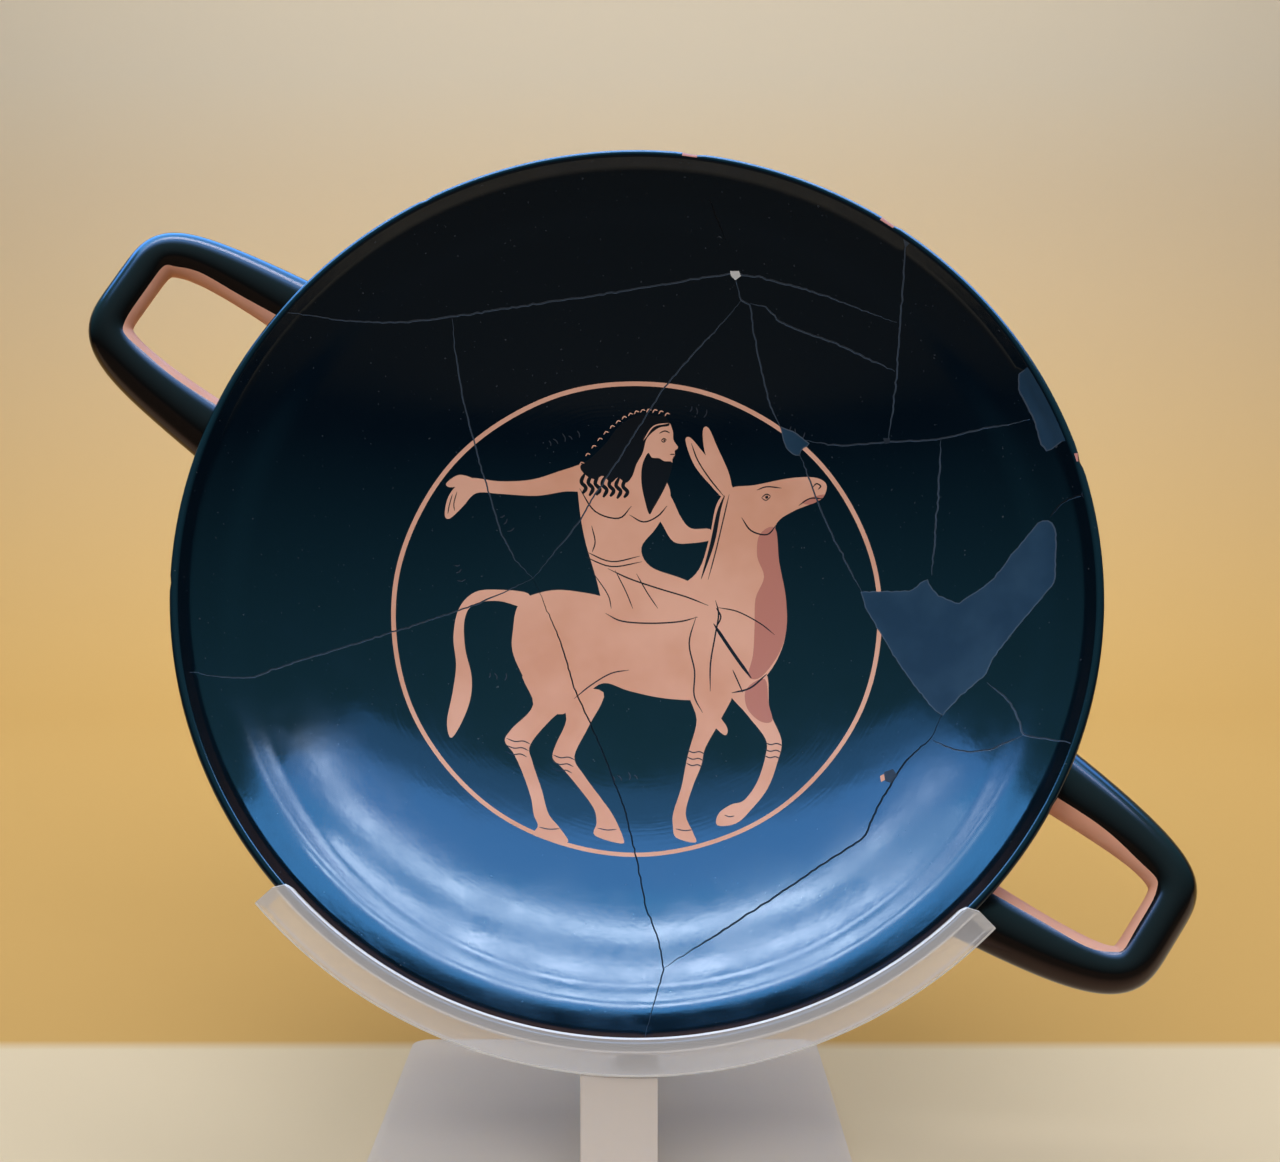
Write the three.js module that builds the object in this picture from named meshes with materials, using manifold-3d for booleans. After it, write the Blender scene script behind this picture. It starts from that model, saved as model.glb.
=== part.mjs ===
// Black-glazed drinking cup (kylix) leaning back in its clear acrylic display cradle.
// Millimetres, +Z up. The cup's mouth faces -Y and +X is to the viewer's right.
// The origin is the centre of the base plate's underside.
import * as THREE from 'three';
import { mergeVertices } from 'three/addons/utils/BufferGeometryUtils.js';
import Module from 'manifold-3d';

const wasm = await Module();
wasm.setup();

// Cup body: a thrown bowl with one unbroken curve from rim to stem.
const rimRadius = 115;
const rimThickness = 2.4;
const bowlDepth = 54.8;
const floorThickness = 7;
const bowlPower = 2.2;
const lipTurn = 0.635;
const lipStartRatio = 0.925;
const lipSoftnessRatio = 0.012;
const wallTaper = 1.2;
const stemJoinRatio = 0.14;

// Stem and foot, thrown separately and fired in one with the bowl.
const cupHeight = 92;
const stemRadius = 12;
const stemFillet = 4;
const footRadius = 44;
const footThickness = 6.5;
const footRise = 3;
const footFlare = 5;
const restingRing = 8;
const hollowWall = 4;
const hollowEdge = 3.5;
const hollowTop = 14;

// Handles: rolled bars bent into a rounded trapezoid, luted on below the rim.
const handleRootRadius = 82;
const handleRootDepth = 25.5;
const handlePower = 5.6;
const handleBarWidth = 11.2;
const handleBarThickness = 11.2;
const handleRootWidth = 21.8;
const handleRootThickness = 13.6;
const leftHandleAngle = 210;
const leftHandleRiseAngle = 17.2;
const leftHandleReach = 152.1;
const leftHandleRootSpread = 22.2;
const leftHandleTipSpread = 18;
const rightHandleAngle = 35;
const rightHandleRiseAngle = 8.7;
const rightHandleReach = 152.1;
const rightHandleRootSpread = 21.6;
const rightHandleTipSpread = 17.2;

// Display pose of the cup over its stand.
const leanAngle = 19.5;
const rimHeight = 152;
const cupSide = 6.8;
const cupForward = -3.5;

// Clear acrylic cradle: a bent channel under the rim with a low front lip.
const seatGap = 0.3;
const cradleFloor = 5.2;
const cradleDepth = 13;
const cradleLip = 3.5;
const cradleLipHeight = 3.1;
const cradleSpan = 90.4;
const cradleTurn = 1.9;
const cradleEndRound = 3;

// Posts and base plate, cut from acrylic sheet and bonded.
const jointGap = 0.02;
const frontPostWidth = 17.5;
const frontPostThickness = 10;
const frontPostSetback = 2;
const rearPostWidth = 12;
const rearPostThickness = 6;
const rearPostAt = 67.5;
const forkClearance = 0.5;
const forkProng = 7;
const forkDrop = 3.3;
const forkShoulder = 16;
const plateWidth = 120;
const plateDepth = 150;
const plateThickness = 5;
const plateCorner = 5;

const segments = 60;
const curveCrowding = 1.4;

const lean = THREE.MathUtils.degToRad(leanAngle);

const slip = new THREE.MeshStandardMaterial({ color: 0x10161f, roughness: 0.28, metalness: 0 });
const acrylic = new THREE.MeshStandardMaterial({
  color: 0xdcdcdc, roughness: 0.15, metalness: 0, transparent: true, opacity: 0.35,
});

// A closed triangle mesh with its shared corners merged becomes a solid.
function toSolid(geometry) {
  const bare = geometry.clone();
  bare.deleteAttribute('normal');
  bare.deleteAttribute('uv');
  const merged = mergeVertices(bare, 1e-4);
  return new wasm.Manifold(new wasm.Mesh({
    numProp: 3,
    vertProperties: new Float32Array(merged.attributes.position.array),
    triVerts: new Uint32Array(merged.index.array),
  }));
}

function toMesh(solid, name, material) {
  const data = solid.getMesh();
  const geometry = new THREE.BufferGeometry();
  geometry.setAttribute('position', new THREE.BufferAttribute(new Float32Array(data.vertProperties), 3));
  geometry.setIndex(new THREE.BufferAttribute(new Uint32Array(data.triVerts), 1));
  geometry.computeVertexNormals();
  const mesh = new THREE.Mesh(geometry, material);
  mesh.name = name;
  return mesh;
}

// The bowl's inside rises from the floor as share ^ power, where share is radius / mouth, and is
// turned up more steeply near the rim: its slope gains lipTurn round lipStartRatio, by a soft bend.
// The outside lies off it along its normal by a wall that thickens from the rim to the floor.
const lipRise = lipTurn * rimRadius * (1 - lipStartRatio);
const rimSlope = Math.atan(bowlPower * (bowlDepth - lipRise) / rimRadius + lipTurn);
const mouthRadius = rimRadius - rimThickness / 2 * (1 + Math.sin(rimSlope));
const mouthDepth = rimThickness / 2 * (1 - Math.cos(rimSlope));

// The height that the soft bend adds at a share, and the part of its full slope reached there.
const lipLift = (share) => lipTurn * mouthRadius * lipSoftnessRatio
  * Math.log(1 + Math.exp((share - lipStartRatio) / lipSoftnessRatio));
const lipPart = (share) => 1 / (1 + Math.exp((lipStartRatio - share) / lipSoftnessRatio));

function bowlPoint(radius, offsetShare) {
  const share = radius / mouthRadius;
  const curved = bowlDepth - mouthDepth - lipLift(1);
  const height = -bowlDepth + curved * share ** bowlPower + lipLift(share);
  const rise = bowlPower * curved / mouthRadius * share ** (bowlPower - 1) + lipTurn * lipPart(share);
  const slope = Math.atan(rise);
  const wall = rimThickness + (floorThickness - rimThickness) * (1 - share) ** wallTaper;
  const offset = offsetShare * wall;
  return new THREE.Vector2(radius + offset * Math.sin(slope), height - offset * Math.cos(slope));
}

// Points along the bowl's curve from one radius to another, closer together towards the rim.
function bowlCurve(fromShare, toShare, offsetShare, steps) {
  const points = [];
  for (let i = 0; i <= steps; i += 1) {
    const t = fromShare + (toShare - fromShare) * i / steps;
    const share = 1 - (1 - t) ** curveCrowding;
    points.push(bowlPoint(share * mouthRadius, offsetShare));
  }
  return points;
}

// The rim is a half round from the mouth's edge over its crest to the outside.
function rimArc(steps) {
  const points = [];
  for (let i = 1; i < steps; i += 1) {
    const angle = rimSlope + Math.PI * (0.5 - i / steps);
    const x = rimRadius - rimThickness / 2 + Math.cos(angle) * rimThickness / 2;
    points.push(new THREE.Vector2(x, -rimThickness / 2 + Math.sin(angle) * rimThickness / 2));
  }
  return points;
}

// From the outside of the bowl down the stem, round the foot's edge and up its hollow to the axis.
function stemAndFoot(start) {
  const bottom = -cupHeight;
  const footTop = bottom + footThickness;
  const edge = footThickness / 2;
  const inner = footRadius - restingRing;
  const path = new THREE.Path();
  path.moveTo(start.x, start.y);
  path.quadraticCurveTo(stemRadius, start.y, stemRadius, start.y - stemFillet);
  path.lineTo(stemRadius, footTop + footRise + footFlare);
  path.quadraticCurveTo(stemRadius, footTop + footRise, stemRadius + footFlare, footTop + footRise);
  path.lineTo(footRadius - edge, footTop);
  path.absarc(footRadius - edge, footTop - edge, edge, Math.PI / 2, -Math.PI / 2, true);
  path.lineTo(inner, bottom);
  path.lineTo(inner - hollowWall, bottom + hollowEdge);
  path.lineTo(stemRadius + footFlare, footTop + footRise - hollowWall);
  path.lineTo(stemRadius / 2, bottom + hollowTop);
  path.lineTo(0, bottom + hollowTop);
  return path.getPoints(3);
}

function cupBody() {
  const inside = bowlCurve(0, 1, 0, 14);
  const outside = bowlCurve(1, stemJoinRatio, 1, 12);
  const foot = stemAndFoot(outside[outside.length - 1]).slice(1);
  const profile = [...inside, ...rimArc(4), ...outside, ...foot].reverse();
  return toSolid(new THREE.LatheGeometry(profile, segments));
}

// What a handle may not enter: the bowl's hollow with half the wall.
function bowlHollow() {
  const inside = bowlCurve(0, 1, 0.5, 14);
  const profile = [...inside, new THREE.Vector2(rimRadius, rimRadius), new THREE.Vector2(0, rimRadius)];
  return toSolid(new THREE.LatheGeometry(profile, segments));
}

// A handle is an oval section carried round half a superellipse that rises away from the wall.
function handleBar(heading, riseAngle, reach, rootSpread, tipSpread) {
  const steps = 20;
  const sides = 10;
  const angle = THREE.MathUtils.degToRad(heading);
  const rise = Math.tan(THREE.MathUtils.degToRad(riseAngle));
  const outwards = new THREE.Vector3(Math.cos(angle), 0, Math.sin(angle));
  const across = new THREE.Vector3(-Math.sin(angle), 0, Math.cos(angle));
  const up = new THREE.Vector3(0, 1, 0);
  const face = outwards.clone().multiplyScalar(-rise).add(up).normalize();
  const run = reach - handleRootRadius;
  const signedPower = (value, power) => Math.sign(value) * Math.abs(value) ** power;
  const centre = (turn) => {
    const away = run * Math.max(Math.cos(turn), 0) ** (2 / handlePower);
    const spread = rootSpread + (tipSpread - rootSpread) * away / run;
    return outwards.clone().multiplyScalar(handleRootRadius + away)
      .addScaledVector(across, spread * signedPower(Math.sin(turn), 2 / handlePower))
      .addScaledVector(up, -handleRootDepth + away * rise);
  };
  const positions = [];
  const faces = [];
  for (let i = 0; i <= steps; i += 1) {
    const turn = Math.PI * (i / steps - 0.5);
    const middle = centre(turn);
    const ahead = centre(Math.min(turn + 1e-3, Math.PI / 2));
    const tangent = ahead.sub(centre(Math.max(turn - 1e-3, -Math.PI / 2))).normalize();
    const side = tangent.clone().cross(face).normalize();
    const flare = 1 - Math.max(Math.cos(turn), 0) ** (2 / handlePower);
    const width = handleBarWidth + (handleRootWidth - handleBarWidth) * flare;
    const thickness = handleBarThickness + (handleRootThickness - handleBarThickness) * flare;
    for (let k = 0; k < sides; k += 1) {
      const around = 2 * Math.PI * k / sides;
      const corner = middle.clone().addScaledVector(side, width / 2 * Math.cos(around))
        .addScaledVector(face, thickness / 2 * Math.sin(around));
      positions.push(corner.x, corner.y, corner.z);
    }
  }
  for (let i = 0; i < steps; i += 1) {
    for (let k = 0; k < sides; k += 1) {
      const a = i * sides + k;
      const b = i * sides + (k + 1) % sides;
      faces.push(a, b + sides, b, a, a + sides, b + sides);
    }
  }
  const last = steps * sides;
  for (let k = 1; k < sides - 1; k += 1) {
    faces.push(0, k, k + 1, last, last + k + 1, last + k);
  }
  const geometry = new THREE.BufferGeometry();
  geometry.setAttribute('position', new THREE.BufferAttribute(new Float32Array(positions), 3));
  geometry.setIndex(faces);
  return toSolid(geometry);
}

function kylix() {
  const left = handleBar(
    leftHandleAngle, leftHandleRiseAngle, leftHandleReach, leftHandleRootSpread, leftHandleTipSpread,
  );
  const right = handleBar(
    rightHandleAngle, rightHandleRiseAngle, rightHandleReach, rightHandleRootSpread, rightHandleTipSpread,
  );
  const bars = left.add(right).subtract(bowlHollow());
  return toMesh(cupBody().add(bars), 'kylix', slip);
}

// A stretch of ring in the cup's rim plane, its middle straight below the axis but for cradleTurn.
function ringSector(innerRadius, outerRadius, depth, endRound) {
  const half = THREE.MathUtils.degToRad(cradleSpan / 2);
  const middle = -Math.PI / 2 - THREE.MathUtils.degToRad(cradleTurn);
  const trim = endRound / innerRadius;
  const at = (radius, angle) => [radius * Math.cos(angle), radius * Math.sin(angle)];
  const shape = new THREE.Shape();
  shape.absarc(0, 0, outerRadius, middle - half, middle + half, false);
  shape.lineTo(...at(innerRadius + endRound, middle + half));
  shape.quadraticCurveTo(...at(innerRadius, middle + half), ...at(innerRadius, middle + half - trim));
  shape.absarc(0, 0, innerRadius, middle + half - trim, middle - half + trim, true);
  shape.quadraticCurveTo(...at(innerRadius, middle - half), ...at(innerRadius + endRound, middle - half));
  shape.closePath();
  return new THREE.ExtrudeGeometry(shape, { depth, bevelEnabled: false, curveSegments: 24 });
}

// The channel is a bent strip with its floor under the rim's edge. The rim's seat is cut out of it
// behind the lip, which stands just in front of the rim.
const cradleInner = rimRadius + seatGap;
const cradleOuter = cradleInner + cradleFloor;

function rimCradle() {
  const strip = ringSector(rimRadius - cradleLipHeight, cradleOuter, cradleDepth, cradleEndRound);
  strip.rotateX(-Math.PI / 2);
  strip.translate(0, seatGap + cradleLip - cradleDepth, 0);
  const seat = new THREE.CylinderGeometry(cradleInner, cradleInner, rimRadius, 90);
  seat.translate(0, seatGap - rimRadius / 2, 0);
  return toMesh(toSolid(strip).subtract(toSolid(seat)), 'rim_cradle', acrylic);
}

// Where a point of the cup's own frame, its depth and its distance down, lies on the stand.
function besideCup(depth, down) {
  return {
    y: cupForward + depth * Math.cos(lean) - down * Math.sin(lean),
    z: rimHeight - depth * Math.sin(lean) - down * Math.cos(lean),
  };
}

// The front post is cut on top to the round of the cradle, which it meets under the middle.
function frontPost() {
  const lipFront = besideCup(-seatGap - cradleLip, cradleOuter);
  const height = lipFront.z - plateThickness + cradleFloor;
  const block = new THREE.BoxGeometry(frontPostWidth, frontPostThickness, height);
  const x = cupSide - cradleOuter * Math.sin(THREE.MathUtils.degToRad(cradleTurn));
  const y = lipFront.y + frontPostSetback + frontPostThickness / 2;
  block.translate(x, y, plateThickness + jointGap + height / 2);
  const round = new THREE.CylinderGeometry(cradleOuter + seatGap, cradleOuter + seatGap, rimRadius, 128);
  round.rotateX(Math.PI - lean);
  round.translate(cupSide, cupForward, rimHeight);
  return toMesh(toSolid(block).subtract(toSolid(round)), 'front_post', acrylic);
}

// The rear post is cut from sheet with a forked head, and the stem lies in the fork's notch.
function rearPost() {
  const middle = besideCup(rearPostAt, stemRadius).y;
  const back = middle + rearPostThickness / 2;
  const under = rimHeight - (stemRadius + (back - cupForward) * Math.sin(lean)) / Math.cos(lean);
  const notch = stemRadius + forkClearance;
  const centre = under - seatGap + notch;
  const top = centre - forkDrop;
  const reach = notch + forkProng;
  const foot = plateThickness + jointGap;
  const half = rearPostWidth / 2;
  const dip = Math.asin(forkDrop / notch);
  const shape = new THREE.Shape();
  shape.moveTo(-half, foot);
  shape.lineTo(half, foot);
  shape.lineTo(half, centre - notch - forkShoulder);
  shape.quadraticCurveTo(half, centre - notch - forkProng, reach, centre - notch - forkProng / 2);
  shape.lineTo(reach, top);
  shape.absarc(0, centre, notch, -dip, Math.PI + dip, true);
  shape.lineTo(-reach, top);
  shape.lineTo(-reach, centre - notch - forkProng / 2);
  shape.quadraticCurveTo(-half, centre - notch - forkProng, -half, centre - notch - forkShoulder);
  shape.closePath();
  const geometry = new THREE.ExtrudeGeometry(shape, {
    depth: rearPostThickness, bevelEnabled: false, curveSegments: 12,
  });
  geometry.rotateX(Math.PI / 2);
  geometry.translate(cupSide, back, 0);
  return toMesh(toSolid(geometry), 'rear_post', acrylic);
}

function basePlate() {
  const x = plateWidth / 2;
  const y = plateDepth / 2;
  const r = plateCorner;
  const shape = new THREE.Shape();
  shape.absarc(x - r, y - r, r, 0, Math.PI / 2, false);
  shape.absarc(r - x, y - r, r, Math.PI / 2, Math.PI, false);
  shape.absarc(r - x, r - y, r, Math.PI, 1.5 * Math.PI, false);
  shape.absarc(x - r, r - y, r, 1.5 * Math.PI, 2 * Math.PI, false);
  shape.closePath();
  const geometry = new THREE.ExtrudeGeometry(shape, {
    depth: plateThickness, bevelEnabled: false, curveSegments: 8,
  });
  return toMesh(toSolid(geometry), 'base_plate', acrylic);
}

const leaning = new THREE.Group();
leaning.position.set(cupSide, cupForward, rimHeight);
leaning.rotation.x = Math.PI - lean;
leaning.add(kylix(), rimCradle());

const group = new THREE.Group();
group.add(leaning, frontPost(), rearPost(), basePlate());

export default group;
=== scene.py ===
import math
import bpy
import numpy as np
from mathutils.geometry import delaunay_2d_cdt
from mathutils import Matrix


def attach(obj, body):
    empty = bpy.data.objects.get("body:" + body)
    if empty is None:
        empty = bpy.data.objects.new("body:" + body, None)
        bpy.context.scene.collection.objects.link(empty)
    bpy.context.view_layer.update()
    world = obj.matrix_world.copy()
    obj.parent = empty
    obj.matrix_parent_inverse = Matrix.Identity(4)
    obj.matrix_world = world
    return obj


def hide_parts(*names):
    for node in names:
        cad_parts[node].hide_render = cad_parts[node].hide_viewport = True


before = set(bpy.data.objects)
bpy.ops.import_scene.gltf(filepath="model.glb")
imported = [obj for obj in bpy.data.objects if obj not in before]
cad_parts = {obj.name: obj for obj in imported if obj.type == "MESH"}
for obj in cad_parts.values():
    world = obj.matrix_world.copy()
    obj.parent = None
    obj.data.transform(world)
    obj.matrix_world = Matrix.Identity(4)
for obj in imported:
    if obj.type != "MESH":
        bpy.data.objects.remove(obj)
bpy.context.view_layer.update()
MM = 0.001

# The studio: the photograph's viewpoint, a pale floor that sweeps up behind, and soft lights.
# Cool lamps overhead show only in gloss, as pale arcs in the bowl, and others light matt surfaces.
# The floor turns dark towards the camera, out of its view, because the bowl's upper half mirrors it: that
# dark is painted shade.
PHOTO_SIZE = np.array([1280.0, 1162.0])
FOCAL_PIXELS = 1650.0
SENSOR_WIDTH = 36.0
LEAN = math.radians(19.5)
RIM_CENTRE = np.array([6.8, -3.5, 152.0]) * MM
PITCH = math.radians(4.04)
RIM_FROM_CAMERA = np.array([-0.745, -3.67, 406.1]) * MM

view_right = np.array([1.0, 0.0, 0.0])
view_down = np.array([0.0, -math.sin(PITCH), -math.cos(PITCH)])
view_ahead = np.array([0.0, math.cos(PITCH), -math.sin(PITCH)])
view_axes = np.array([view_right, view_down, view_ahead])
camera_place = RIM_CENTRE - RIM_FROM_CAMERA @ view_axes

camera_data = bpy.data.cameras.new("camera")
camera_data.sensor_width = SENSOR_WIDTH
camera_data.lens = SENSOR_WIDTH * FOCAL_PIXELS / PHOTO_SIZE[0]
camera_data.clip_start = 0.01
camera = bpy.data.objects.new("camera", camera_data)
camera.location = camera_place
camera.rotation_euler = (math.pi / 2 - PITCH, 0, 0)
bpy.context.scene.collection.objects.link(camera)
bpy.context.scene.camera = camera


def mesh_object(name, verts, faces, materials, face_material=None, normals=None):
    """A mesh at the origin from arrays of points and faces, smooth, with its place in its mesh."""
    mesh = bpy.data.meshes.new(name)
    mesh.from_pydata(np.asarray(verts).tolist(), [], [list(f) for f in faces])
    for material in materials:
        mesh.materials.append(material)
    if face_material is not None:
        mesh.polygons.foreach_set("material_index", np.asarray(face_material, np.int32))
    mesh.polygons.foreach_set("use_smooth", np.ones(len(mesh.polygons), bool))
    mesh.validate()
    if normals is not None:
        mesh.normals_split_custom_set(normals)
    mesh.update()
    made = bpy.data.objects.new(name, mesh)
    bpy.context.scene.collection.objects.link(made)
    return made


class Finish:
    """A Principled material whose even values sit on the shader's own sockets."""

    def __init__(self, name, color, roughness, **even):
        self.material = bpy.data.materials.new(name)
        self.material.use_nodes = True
        self.tree = self.material.node_tree
        self.shader = self.tree.nodes["Principled BSDF"]
        self.shader.inputs["Base Color"].default_value = (*color, 1)
        self.shader.inputs["Roughness"].default_value = roughness
        for socket, value in even.items():
            self.shader.inputs[socket.replace("_", " ")].default_value = value
        coordinates = self.tree.nodes.new("ShaderNodeTexCoord")
        self.place = coordinates.outputs["Object"]

    def node(self, kind, inputs=(), **settings):
        made = self.tree.nodes.new(kind)
        for key, value in settings.items():
            setattr(made, key, value)
        for key, value in dict(inputs).items():
            if isinstance(value, bpy.types.NodeSocket):
                self.tree.links.new(value, made.inputs[key])
            else:
                made.inputs[key].default_value = value
        return made

    def noise(self, scale, detail=3.0):
        made = self.node("ShaderNodeTexNoise", {"Vector": self.place, "Scale": scale,
                                                "Detail": detail, "Roughness": 0.55})
        return made.outputs["Fac"]

    def step(self, value, low, high, to_low=0.0, to_high=1.0):
        made = self.node("ShaderNodeMapRange", {"Value": value, "From Min": low, "From Max": high,
                                                "To Min": to_low, "To Max": to_high})
        return made.outputs["Result"]

    def mix(self, factor, first, second):
        made = self.node("ShaderNodeMix", data_type="RGBA")
        for slot, value in ((0, factor), (6, first), (7, second)):
            if isinstance(value, bpy.types.NodeSocket):
                self.tree.links.new(value, made.inputs[slot])
            elif slot:
                made.inputs[slot].default_value = (*value, 1)
            else:
                made.inputs[slot].default_value = value
        return made.outputs[2]

    def color(self, socket):
        self.tree.links.new(socket, self.shader.inputs["Base Color"])

    def roughness(self, socket):
        self.tree.links.new(socket, self.shader.inputs["Roughness"])

    def bump(self, height, distance, strength):
        made = self.node("ShaderNodeBump", {"Height": height, "Distance": distance, "Strength": strength})
        self.tree.links.new(made.outputs["Normal"], self.shader.inputs["Normal"])


FLOOR_HALF = 3.0
FLOOR_FRONT = 3.0
FLOOR_BACK = 0.75
SWEEP_RADIUS = 0.45
WALL_HEIGHT = 0.95
FLOOR_DARK_TO_PALE = (-0.15, -0.05)
FLOOR_PALE_TO_WALL = (0.080, 0.088)
WALL_LOW_TO_HIGH = (0.0, 0.55)

floor_finish = Finish("pale_floor", (0.26, 0.215, 0.145), 0.7, Specular_IOR_Level=0.0)
floor_place = floor_finish.node("ShaderNodeSeparateXYZ", {"Vector": floor_finish.place})
up_wall = floor_finish.step(floor_place.outputs["Z"], *WALL_LOW_TO_HIGH)
floor_warm = floor_finish.mix(up_wall, (0.70, 0.46, 0.17), (0.50, 0.455, 0.37))
# Painted shade: the floor darkens towards the camera, for the bowl's upper half to mirror.
near_part = floor_finish.step(floor_place.outputs["Y"], *FLOOR_DARK_TO_PALE)
floor_near_painted_shade = floor_finish.mix(near_part, (0.12, 0.10, 0.055), (0.86, 0.76, 0.57))
far_part = floor_finish.step(floor_place.outputs["Y"], *FLOOR_PALE_TO_WALL)
floor_finish.color(floor_finish.mix(far_part, floor_near_painted_shade, floor_warm))
sweep_turn = np.linspace(0, math.pi / 2, 17)
sweep_y = np.concatenate([[-FLOOR_FRONT], FLOOR_BACK + SWEEP_RADIUS * np.sin(sweep_turn),
                          [FLOOR_BACK + SWEEP_RADIUS]])
sweep_z = np.concatenate([[0], SWEEP_RADIUS * (1 - np.cos(sweep_turn)), [WALL_HEIGHT]])
floor_points = np.array([[x, y, z] for x in (-FLOOR_HALF, FLOOR_HALF) for y, z in zip(sweep_y, sweep_z)])
rows = len(sweep_y)
floor_faces = [(i, i + rows, i + rows + 1, i + 1) for i in range(rows - 1)]
floor = mesh_object("floor", floor_points, floor_faces, [floor_finish.material])


def area_light(name, place, aim, size, power, color, gloss=True):
    """A rectangular light turned to face a point. It shows in gloss, or else lights matt surfaces."""
    data = bpy.data.lights.new(name, "AREA")
    data.shape = "RECTANGLE"
    data.size, data.size_y = size
    data.energy = power
    data.color = color
    light = bpy.data.objects.new(name, data)
    light.location = place
    direction = np.array(aim) - np.array(place)
    direction = direction / np.linalg.norm(direction)
    pitch = math.acos(-direction[2])
    turn = math.atan2(direction[1], direction[0]) - math.pi / 2 if pitch > 1e-3 else 0.0
    light.rotation_euler = (pitch, 0, turn)
    light.visible_diffuse, light.visible_glossy, light.visible_camera = not gloss, gloss, False
    bpy.context.scene.collection.objects.link(light)
    return light


LAMP_HEIGHT = 0.88


def tube(name, path, width, power, shares, color):
    """Strip lights facing down between the points of a path: watts = power * share * length * width."""
    path = np.array(path)
    for start, stop, share in zip(path[:-1], path[1:], shares):
        length = float(np.linalg.norm(stop - start))
        middle = (start + stop) / 2
        strip = area_light(name, (*middle, LAMP_HEIGHT), (*middle, 0.0), (length, width),
                           power * share * length * width, color)
        strip.rotation_euler[2] = math.atan2(stop[1] - start[1], stop[0] - start[0])


tube("overhead_tube", [(-0.62, -0.13), (-0.42, -0.06), (-0.26, 0.0), (0.0, 0.034), (0.27, 0.0),
                       (0.53, -0.077), (0.72, -0.175)],
     0.03, 72.0, (0.35, 0.6, 1.0, 1.0, 0.85, 0.6), (0.75, 0.86, 1.0))
tube("overhead_tube_behind", [(-0.57, -0.02), (-0.42, 0.03), (-0.26, 0.075), (0.0, 0.116), (0.28, 0.08),
                              (0.51, 0.018)],
     0.03, 76.0, (0.3, 0.7, 1.0, 1.0, 0.8), (0.77, 0.86, 1.0))
area_light("overhead_haze", (0.0, 0.10, 0.92), (0.0, 0.10, 0.0), (1.5, 0.31), 14.0, (0.095, 0.41, 1.0))
area_light("overhead_haze_front", (0.0, -0.12, 0.92), (0.0, -0.12, 0.0), (1.5, 0.20), 8.5, (0.11, 0.38, 1.0))
area_light("overhead_haze_edge", (0.0, -0.29, 0.92), (0.0, -0.29, 0.0), (1.5, 0.14), 1.8, (0.11, 0.38, 1.0))
area_light("overhead_back", (0.0, 0.72, 0.94), (0.0, 0.72, 0.0), (2.2, 0.85), 40.0, (0.09, 0.34, 1.0))
area_light("front_softbox", (0.0, -1.7, 1.25), (0.0, 0.0, 0.15), (1.8, 1.2), 29.0, (1.0, 0.98, 1.0),
           gloss=False)
area_light("overhead_key", (0.0, 0.0, 1.3), (0.0, 0.0, 0.0), (1.6, 1.2), 9.0, (1.0, 0.97, 0.92),
           gloss=False)
area_light("backdrop_wash", (0.0, 0.55, 0.95), (0.0, 1.2, 0.35), (1.6, 0.3), 7.0, (1.0, 1.0, 1.0),
           gloss=False)

world = bpy.data.worlds.new("studio_air")
world.use_nodes = True
sky = world.node_tree.nodes["Background"]
direction = world.node_tree.nodes.new("ShaderNodeTexCoord")
height = world.node_tree.nodes.new("ShaderNodeSeparateXYZ")
gradient = world.node_tree.nodes.new("ShaderNodeMix")
gradient.data_type = "RGBA"
gradient.inputs[6].default_value = (0.0, 0.0, 0.0, 1)
gradient.inputs[7].default_value = (0.19, 0.78, 1.05, 1)
world.node_tree.links.new(direction.outputs["Generated"], height.inputs["Vector"])
world.node_tree.links.new(height.outputs["Z"], gradient.inputs[0])
world.node_tree.links.new(gradient.outputs[2], sky.inputs["Color"])
world.cycles_visibility.diffuse = False
bpy.context.scene.world = world
bpy.context.scene.view_settings.view_transform = "Standard"


# The bowl: thrown in one curve from floor to rim, then dipped in fine slip that fired glossy black.
# Its inside is the photograph's main view, with the reserved picture, the joins and the fills.
# Near the lip it is shaded up to LIP_SHEEN flatter than its mesh, fitted to the photograph.
RIM_RADIUS = 115.0
RIM_THICKNESS = 2.4
BOWL_DEPTH = 54.8
BOWL_POWER = 2.2
LIP_TURN = 0.635
LIP_START = 0.925
LIP_SOFTNESS = 0.012
LIP_SHEEN = 0.33
SHEEN_START = 0.88
SHEEN_RUN = 0.04
SHEEN_END = 0.985
FLOOR_THICKNESS = 7.0
WALL_TAPER = 1.2
lip_rise = LIP_TURN * RIM_RADIUS * (1 - LIP_START)
rim_slope = math.atan(BOWL_POWER * (BOWL_DEPTH - lip_rise) / RIM_RADIUS + LIP_TURN)
mouth_radius = RIM_RADIUS - RIM_THICKNESS / 2 * (1 + math.sin(rim_slope))
mouth_depth = RIM_THICKNESS / 2 * (1 - math.cos(rim_slope))
cup_axes = np.array([[1.0, 0.0, 0.0],
                     [0.0, math.sin(LEAN), math.cos(LEAN)],
                     [0.0, -math.cos(LEAN), math.sin(LEAN)]])


def cup_to_frame(points):
    """Points in the cup's axes (right, up the rim plane, out of the mouth, mm) to metres in the frame."""
    return np.asarray(points) * MM @ cup_axes + RIM_CENTRE


def lip_lift(share):
    """The lip's lift: turn * mouth * softness * log(1 + exp((share - start) / softness))."""
    return LIP_TURN * mouth_radius * LIP_SOFTNESS * np.log1p(np.exp((share - LIP_START) / LIP_SOFTNESS))


curved_depth = BOWL_DEPTH - mouth_depth - float(lip_lift(1.0))


def bowl_height(radius):
    """Height of the inside over the rim plane: -depth + curved * (r / mouth) ^ power + the lip's lift."""
    share = radius / mouth_radius
    return -BOWL_DEPTH + curved_depth * share ** BOWL_POWER + lip_lift(share)


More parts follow.
